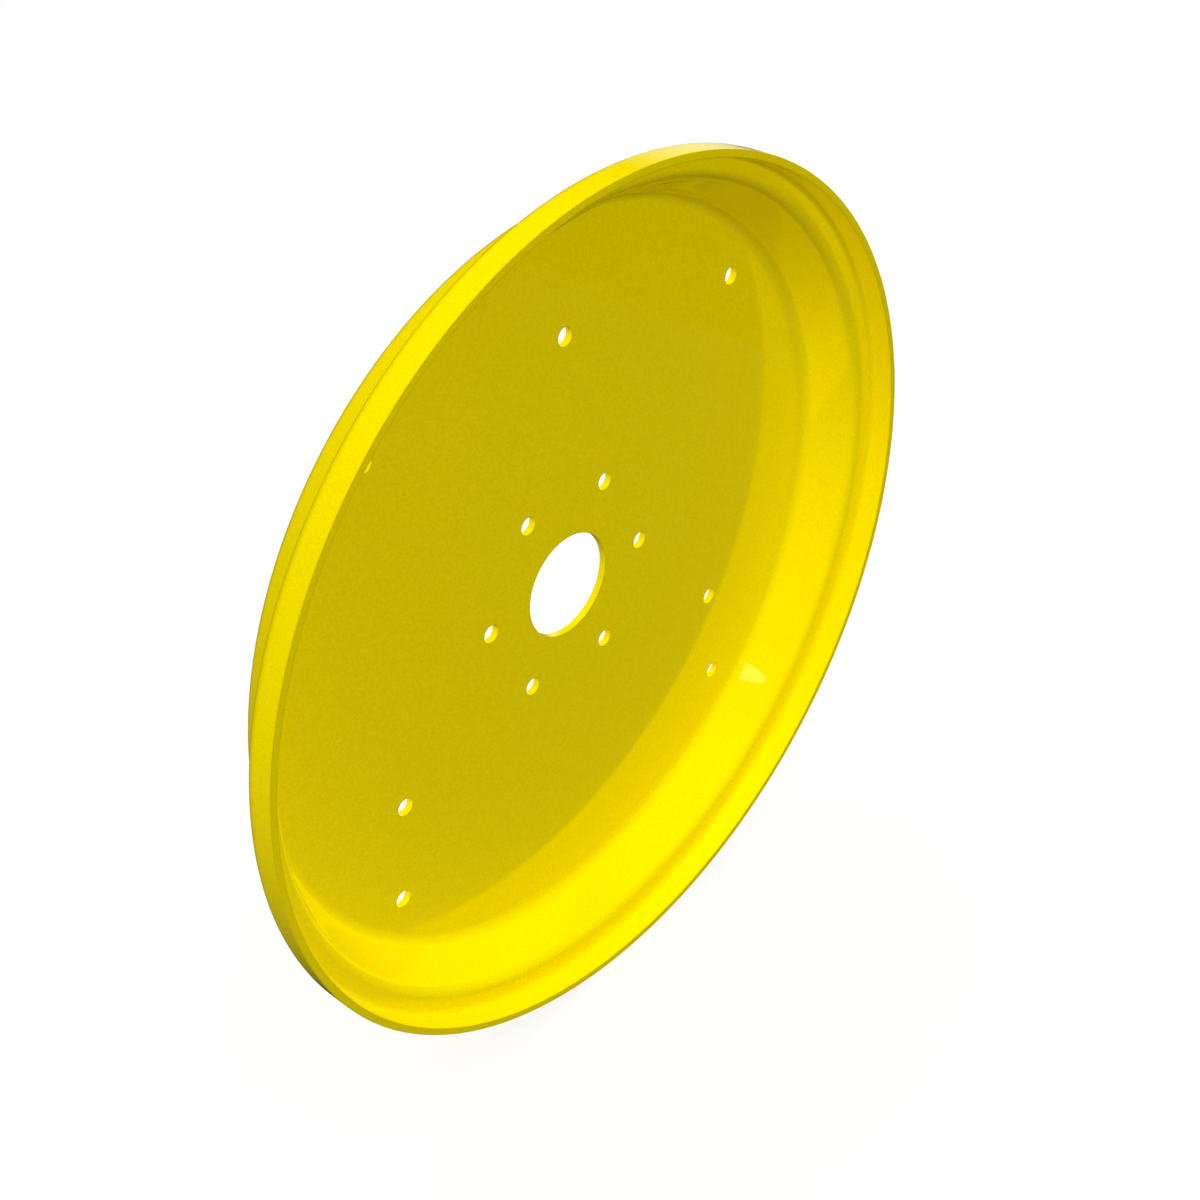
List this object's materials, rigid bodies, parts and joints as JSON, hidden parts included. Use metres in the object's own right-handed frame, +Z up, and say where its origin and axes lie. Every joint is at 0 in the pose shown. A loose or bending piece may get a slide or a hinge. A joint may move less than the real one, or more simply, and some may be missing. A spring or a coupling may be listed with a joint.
{
  "type": "fertilizer opener wheel",
  "caption": "Dished wheel pressed from painted steel sheet, with a stepped and flanged rim, a central hub bore and rings of bolt holes.",
  "frame": {"origin": "middle of the hub bore, on the flat back of the floor, where the wheel seats against its hub", "axes": "+Y along the axle, out of the flat back; the open side of the dish faces -Y; +Z up, +X to the right when the open side is seen from the front"},
  "size_m": [0.3116, 0.033, 0.3116],
  "materials": {
    "yellow_paint": "gloss yellow enamel over pressed steel sheet"
  },
  "bodies": {
    "root": {"pressed_wheel": "yellow_paint"}
  },
  "joints": []
}
